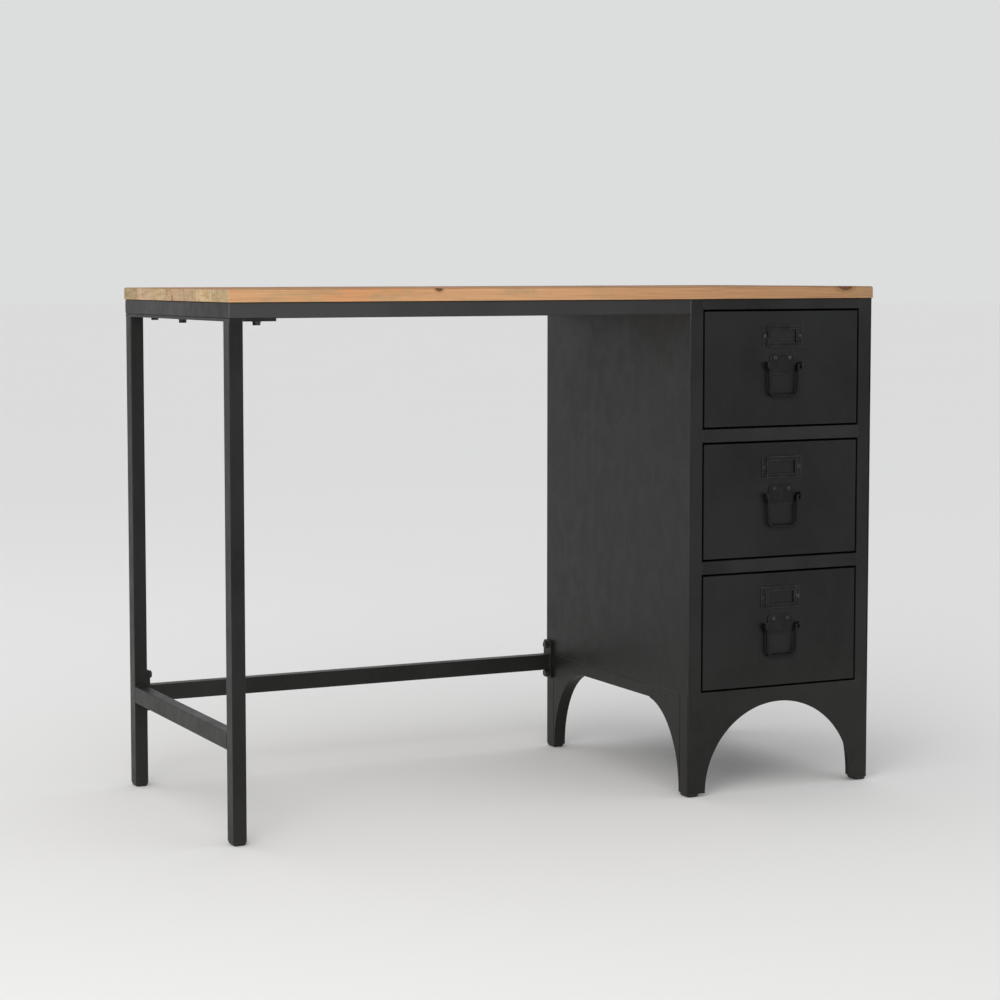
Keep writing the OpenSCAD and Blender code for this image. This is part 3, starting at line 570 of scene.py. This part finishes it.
def make_bail(index, material):
    """The drop handle: one bent wire, with peened ends outside the ears."""
    word = DRAWERS[index]
    node = f"bail_{index}"
    lo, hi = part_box(node)
    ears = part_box(f"pull_plate_{index}")
    middle = (lo.x + hi.x) / 2
    wire = (hi.y - lo.y) / 2
    pivot = Vector((middle, (lo.y + hi.y) / 2, hi.z - wire))
    fall = pivot.z - lo.z - wire
    arm_top, arm_foot = 25.5 * MM, 24.5 * MM
    tilt = math.atan2(arm_top - arm_foot, fall)
    corner, elbow, chamfer = 8.0 * MM, 2.6 * MM, 0.5 * MM
    corner_steps, elbow_steps, sides = 12, 8, 22
    peened = {0: 0.62, 1: 0.97}
    turn = math.pi / 2 - tilt
    corner_in = corner * math.tan(turn / 2)
    elbow_in = elbow * math.tan(turn / 2)
    half = [(0.0, -fall, 0.0), ((arm_foot - corner_in) / 2, -fall, 0.0)]
    for k in range(corner_steps + 1):
        a = turn * k / corner_steps
        half.append((arm_foot - corner_in + corner * math.sin(a), -fall + corner * (1 - math.cos(a)), a))
    for k in range(elbow_steps + 1):
        a = turn * (1 - k / elbow_steps)
        half.append((arm_top + elbow_in - elbow * math.sin(a), -elbow * (1 - math.cos(a)), a))
    end = hi.x - middle
    half += [(ears[1].x - middle, 0.0, 0.0), (end - chamfer, 0.0, 0.0), (end, 0.0, 0.0)]
    line = [(-x, z, -a) for x, z, a in reversed(half[1:])] + half
    rings = []
    for k, (x, z, a) in enumerate(line):
        from_end = min(k, len(line) - 1 - k)
        size = peened.get(from_end, 1.0) * (wire - 0.05 * MM)
        ring = []
        for s in range(sides):
            t = 2 * math.pi * s / sides
            out, up = size * math.sin(t), size * math.cos(t)
            ring.append(pivot + Vector((x - up * math.sin(a), out, z + up * math.cos(a))))
        rings.append(ring)
    shape = bmesh.new()
    ring_surface(shape, rings)
    even_normals(piece(f"bail_wire_{index}", shape, material, f"{word}_bail", [node]))


def make_rivets(index, material):
    """Two rivets through the label holder's flanges and two through the pull's plate."""
    shape = bmesh.new()
    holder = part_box(f"label_holder_{index}")
    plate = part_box(f"pull_plate_{index}")
    front = holder[1].y
    middle = (holder[0].x + holder[1].x) / 2
    pocket_w, label_t, pull_t = 54 * MM, 1.2 * MM, 1.8 * MM
    pivot_drop, rivet_up, rivet_side = 17 * MM, 11 * MM, 12.5 * MM
    tail_r, tail_rim_r, tail_wall, tail_h = 3.2 * MM, 2.2 * MM, 0.6 * MM, 1.0 * MM
    dome_steps = 7
    flange = (holder[1].x - holder[0].x + pocket_w) / 4
    pivot_z = plate[1].z - pivot_drop
    places = [(s * flange, (holder[0].z + holder[1].z) / 2, label_t) for s in (-1, 1)]
    places += [(s * rivet_side, pivot_z + rivet_up, pull_t) for s in (-1, 1)]
    dome_r, dome_h, crown_r, shank, sheet = 3.4 * MM, 1.4 * MM, 0.765 * MM, 2.0 * MM, 1.2 * MM
    ball = (dome_r ** 2 + dome_h ** 2) / (2 * dome_h)
    for x, z, thick in places:
        dome = [(math.sqrt(max(0.0, ball ** 2 - (ball - dome_h + h) ** 2)), h)
                for h in (dome_h * (1 - (1 - k / dome_steps) ** 2) for k in range(dome_steps))]
        inside = -thick - sheet
        profile = [(crown_r, dome_h * 0.995), *reversed(dome), (shank, 0.0), (shank, inside),
                   (tail_r, inside), (tail_r, inside - tail_wall), (tail_rim_r, inside - tail_h)]
        base = Vector((middle + x, front - thick, z))
        lathe(shape, base, Vector((0, -1, 0)), Vector((1, 0, 0)), profile)
    even_normals(piece(f"rivet_set_{index}", shape, material, f"{DRAWERS[index]}_drawer",
                       [f"rivets_{index}"]))


def make_drawer_front(index, material):
    """A folded drawer front: bent round its edges, open at the back, with a closed corner seam."""
    node = f"drawer_front_{index}"
    lo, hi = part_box(node)
    bend, sheet = 1.9 * MM, 1.2 * MM
    shape = box_mesh(lo, hi)
    open_side = [f for f in shape.faces if f.calc_center_median().y > hi.y - MM]
    bmesh.ops.delete(shape, geom=open_side, context="FACES_ONLY")
    sharp = [e for e in shape.edges if e.is_manifold]
    round_edges(shape, sharp, bend, 5)
    made = piece(f"front_{index}", shape, material, f"{DRAWERS[index]}_drawer", [node])
    skin = made.modifiers.new("sheet", "SOLIDIFY")
    skin.thickness = sheet
    skin.offset = -1.0
    skin.use_even_offset = True
    even_normals(made)


def rounded_ring(lo, hi, inset, corner, z):
    """Points round a rectangle with rounded corners, at height z."""
    x0, y0, x1, y1 = lo[0] + inset, lo[1] + inset, hi[0] - inset, hi[1] - inset
    r = max(corner - inset, 0.6 * MM)
    ring = []
    for cx, cy, start in ((x1 - r, y1 - r, 0), (x0 + r, y1 - r, 90), (x0 + r, y0 + r, 180),
                          (x1 - r, y0 + r, 270)):
        for k in range(QUARTER_STEPS + 1):
            t = math.radians(start + 90 * k / QUARTER_STEPS)
            ring.append(Vector((cx + r * math.cos(t), cy + r * math.sin(t), z)))
    return ring


def make_feet(material):
    """Moulded caps under the six legs: a round-edged shoe with a lip round the tube's end."""
    shape = bmesh.new()
    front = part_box("base_skirt")[0].y
    shoe_r, shoe_steps, shoe_corner, inset = 4 * MM, 7, 4.2 * MM, 0.25 * MM
    lip_inset, lip_corner, rim_corner, gap = 0.6 * MM, 2.6 * MM, 2.4 * MM, 0.02 * MM
    plug_inset, plug_corner, plug_h = 1.65 * MM, 1.2 * MM, 12 * MM
    legs = ["leg_front_left", "leg_back_left", "base_leg_front_left", "base_leg_front_right",
            "base_leg_back_left", "base_leg_back_right"]
    for leg in legs:
        lo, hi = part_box(leg)
        if leg.startswith("base_leg_front"):
            lo.y = front
        foot = lo.z
        rings = []
        for k in range(shoe_steps + 1):
            a = math.radians(90 * k / shoe_steps)
            rings.append(rounded_ring(lo, hi, shoe_r * (1 - math.sin(a)) + inset, shoe_corner,
                                      shoe_r * (1 - math.cos(a))))
        rings.append(rounded_ring(lo, hi, inset, lip_corner, foot - inset))
        rings.append(rounded_ring(lo, hi, lip_inset, rim_corner, foot - gap))
        rings.append(rounded_ring(lo, hi, plug_inset, plug_corner, foot - gap))
        rings.append(rounded_ring(lo, hi, plug_inset, plug_corner, foot + plug_h))
        ring_surface(shape, rings)
    even_normals(piece("foot_cap_set", shape, material, "desk", ["foot_caps"]))


def bead(shape, a, b, radius, rng):
    """A rippled weld bead from a to b, sunk to its middle in the joint."""
    a, b = Vector(a), Vector(b)
    along = (b - a).normalized()
    side = along.orthogonal().normalized()
    other = along.cross(side)
    ring_pitch, ring_turn, ring_sides = 0.55 * MM, 0.55, 10
    count = max(6, int((b - a).length / ring_pitch))
    rings = []
    for k in range(count + 1):
        share = k / count
        ripple = 0.86 + 0.14 * abs(math.sin(k * ring_turn))
        taper = min(1.0, 0.35 + 4.0 * min(share, 1 - share))
        size = radius * ripple * taper * rng.uniform(0.94, 1.06)
        rings.append([a.lerp(b, share) + (side * math.cos(t) + other * math.sin(t)) * size
                      for t in (2 * math.pi * s / ring_sides for s in range(ring_sides))])
    ring_surface(shape, rings)


def make_welds(material, rubbed):
    """Weld beads in the inner corners, ground seams on the faces that show, and the seams of the
    aprons' mitred corners in a pale coat, a painted highlight along those corners."""
    rng = random.Random(71)
    shape, corners = bmesh.new(), bmesh.new()
    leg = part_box("leg_front_left")
    back_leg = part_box("leg_back_left")
    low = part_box("side_stretcher")
    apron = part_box("apron_front")
    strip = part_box("leg_strip")
    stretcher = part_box("back_stretcher")
    fillet, seam, mitre, groove, inset = 1.5 * MM, 0.75 * MM, 0.8 * MM, 0.9 * MM, 2.2 * MM

    for y in (low[0].y, low[1].y):
        for z in (low[0].z, low[1].z):
            bead(shape, (low[0].x + inset, y, z), (low[1].x - inset, y, z), fillet, rng)
        for x, sink in ((low[0].x, 1), (low[1].x, -1)):
            bead(shape, (x + sink * 0.45 * MM, y, low[0].z + inset),
                 (x + sink * 0.45 * MM, y, low[1].z - inset), seam, rng)
    for foot, inner in ((leg, leg[1].y), (back_leg, back_leg[0].y)):
        bead(shape, (foot[0].x + inset, inner, foot[1].z), (foot[1].x - inset, inner, foot[1].z),
             fillet, rng)
        bead(shape, (foot[1].x, foot[0].y + inset, foot[1].z), (foot[1].x, foot[1].y - inset, foot[1].z),
             fillet, rng)
        bead(shape, (foot[0].x + 0.5 * MM, foot[0].y + inset, foot[1].z),
             (foot[0].x + 0.5 * MM, foot[1].y - inset, foot[1].z), seam, rng)
    # mitre seams, given the pale coat passed in as rubbed: a painted highlight along the aprons' mitred
    # corners
    for y, sink in ((apron[0].y, 1), (strip[1].y, -1)):
        bead(corners, (apron[0].x + 0.35 * MM, y + sink * 0.35 * MM, apron[0].z + 0.6 * MM),
             (apron[0].x + 0.35 * MM, y + sink * 0.35 * MM, apron[1].z - 0.6 * MM), mitre, rng)
    for y0, y1 in ((apron[0].y, apron[1].y), (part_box("apron_back")[0].y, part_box("apron_back")[1].y)):
        bead(shape, (apron[1].x, y0 + inset, apron[0].z), (apron[1].x, y1 - inset, apron[0].z),
             fillet, rng)
    for x in (stretcher[0].x, stretcher[1].x):
        for z in (stretcher[0].z, stretcher[1].z):
            bead(shape, (x, stretcher[0].y + inset, z), (x, stretcher[1].y - inset, z), fillet, rng)
        bead(shape, (x, stretcher[0].y, stretcher[0].z + inset),
             (x, stretcher[0].y, stretcher[1].z - inset), fillet, rng)
    for rail in ("rail_top", "rail_upper", "rail_lower"):
        lo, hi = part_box(rail)
        for x, out in ((lo.x, -1), (hi.x, 1)):
            bead(shape, (x + out * 0.7 * MM, lo.y + 0.85 * MM, lo.z + inset),
                 (x + out * 0.7 * MM, lo.y + 0.85 * MM, hi.z - inset), groove, rng)
    piece("weld_beads", shape, material, "desk")
    piece("corner_seam_highlights", corners, rubbed, "desk")


# ---- camera, light and stage ----


def add_camera():
    data = bpy.data.cameras.new("camera")
    data.lens = CAMERA_LENS
    data.shift_x, data.shift_y = CAMERA_SHIFT
    data.clip_end = CAMERA_REACH
    yaw, pitch, roll = (math.radians(a) for a in (CAMERA_YAW, CAMERA_PITCH, CAMERA_ROLL))
    ahead = Vector((math.sin(yaw) * math.cos(pitch), math.cos(yaw) * math.cos(pitch), -math.sin(pitch)))
    right = Vector((math.cos(yaw), -math.sin(yaw), 0))
    up = right.cross(ahead)
    across = right * math.cos(roll) + up * math.sin(roll)
    upward = up * math.cos(roll) - right * math.sin(roll)
    camera = bpy.data.objects.new("camera", data)
    camera.matrix_world = Matrix.Translation(CAMERA_PLACE) @ Matrix(
        (across, upward, -ahead)).transposed().to_4x4()
    SCENE.collection.objects.link(camera)
    SCENE.camera = camera


def add_light(name, place, size, power, colour):
    data = bpy.data.lights.new(name, "AREA")
    data.shape, data.size = "DISK", size
    data.energy, data.color = power, colour
    light = bpy.data.objects.new(name, data)
    light.location = place
    light.rotation_mode = "QUATERNION"
    light.rotation_quaternion = (Vector(LIGHT_TARGET) - Vector(place)).to_track_quat("-Z", "Y")
    light.visible_camera = False
    SCENE.collection.objects.link(light)


def add_sun():
    data = bpy.data.lights.new("sun", "SUN")
    data.energy, data.angle = SUN_POWER, math.radians(SUN_SPREAD)
    sun = bpy.data.objects.new("sun", data)
    sun.rotation_euler = [math.radians(a) for a in SUN_TURN]
    SCENE.collection.objects.link(sun)


def add_stage():
    world = bpy.data.worlds.new("studio")
    world.use_nodes = True
    world.node_tree.nodes["Background"].inputs[0].default_value = WORLD_COLOUR
    SCENE.world = world
    SCENE.view_settings.view_transform = "Standard"
    shape = bmesh.new()
    bmesh.ops.create_circle(shape, cap_ends=True, segments=96, radius=FLOOR_SIZE / 2)
    mesh = bpy.data.meshes.new("floor")
    shape.to_mesh(mesh)
    shape.free()
    mesh.materials.append(pale_floor("studio_floor"))
    floor = bpy.data.objects.new("floor", mesh)
    SCENE.collection.objects.link(floor)


# ---- the desk ----


def build():
    frame_coat = coated_steel("frame_coat", (0.0085, 0.0088, 0.0086), (0.011, 0.0130, 0.012), 0.44, 3)
    level_coat = coated_steel("level_coat", (0.0100, 0.0103, 0.0098), (0.013, 0.0140, 0.012), 0.44, 5,
                              level=True)
    # the aprons carry painted light, paler towards their left end
    apron_coat = coated_steel("apron_coat", (0.0110, 0.0113, 0.0110), (0.015, 0.0160, 0.015), 0.46, 9,
                              level=True, painted_left_light=(0.052, 0.053, 0.052))
    side_coat = coated_steel("side_coat", (0.0105, 0.0108, 0.0105), (0.015, 0.0160, 0.015), 0.46, 15,
                             level=True, painted_left_light=(0.012, 0.0125, 0.012))
    front_coat = coated_steel("front_coat", (0.0060, 0.0065, 0.0062), (0.008, 0.0110, 0.010), 0.42, 17)
    inner_coat = coated_steel("inner_coat", (0.0080, 0.0080, 0.0080), (0.011, 0.0120, 0.011), 0.52, 29)
    weld_coat = coated_steel("weld_coat", (0.0120, 0.0120, 0.0115), (0.020, 0.020, 0.018), 0.40, 41,
                             wear=0.9)
    # pale coat of the mitre seams: a painted highlight
    seam_highlight_coat = coated_steel("seam_highlight_coat", (0.0600, 0.0600, 0.0570), (0.100, 0.098, 0.092), 0.38, 43)
    pull_black = blackened("pull_black", (0.0066, 0.0070, 0.0068), 0.38, 7, 0.60)
    rivet_black = blackened("rivet_black", (0.0180, 0.0180, 0.0170), 0.32, 23, 0.80)
    bail_black = blackened("bail_black", (0.0036, 0.0038, 0.0037), 0.44, 19, 0.40)
    bolt_black = blackened("bolt_black", (0.0300, 0.0300, 0.0290), 0.38, 13, 0.8)
    runner_zinc = zinc("runner_zinc")
    foot_black = moulded_plastic("foot_black")

    tubes = [n for n in NODES if n.startswith(("leg_front", "leg_back", "stile", "base_leg"))]
    level_tubes = [n for n in NODES if n.startswith(("side_str", "back_str", "rail", "base_rail"))]
    sheets = [n for n in NODES if n.startswith(("cabinet", "base_skirt", "gussets"))]
    plates = ["leg_strip", "leg_tabs", "stretcher_plates"]
    dress(tubes, frame_coat, 0.35 * MM)
    dress(level_tubes, level_coat, 0.35 * MM)
    dress(["apron_front", "apron_back"], apron_coat, 0.35 * MM)
    dress(["apron_left"], side_coat, 0.35 * MM)
    dress(sheets, frame_coat, 0.45 * MM)
    dress(plates, frame_coat, 0.6 * MM)
    dress(["drawer_runners"], runner_zinc, 0.3 * MM)
    dress(["bolts_and_nuts", "top_screws"], bolt_black, 0.35 * MM)
    make_feet(foot_black)
    make_welds(weld_coat, seam_highlight_coat)
    for index in range(1, BOARD_COUNT + 1):
        make_board(index)
    for index in DRAWERS:
        dress([f"drawer_tray_{index}"], inner_coat, 0.3 * MM)
        dress([f"label_holder_{index}", f"pull_plate_{index}"], pull_black, 0.45 * MM, 3)
        make_drawer_front(index, front_coat)
        make_rivets(index, rivet_black)
        make_bail(index, bail_black)


add_camera()
add_stage()
add_sun()
for light_name, facts in LIGHTS.items():
    add_light(light_name, **facts)
build()
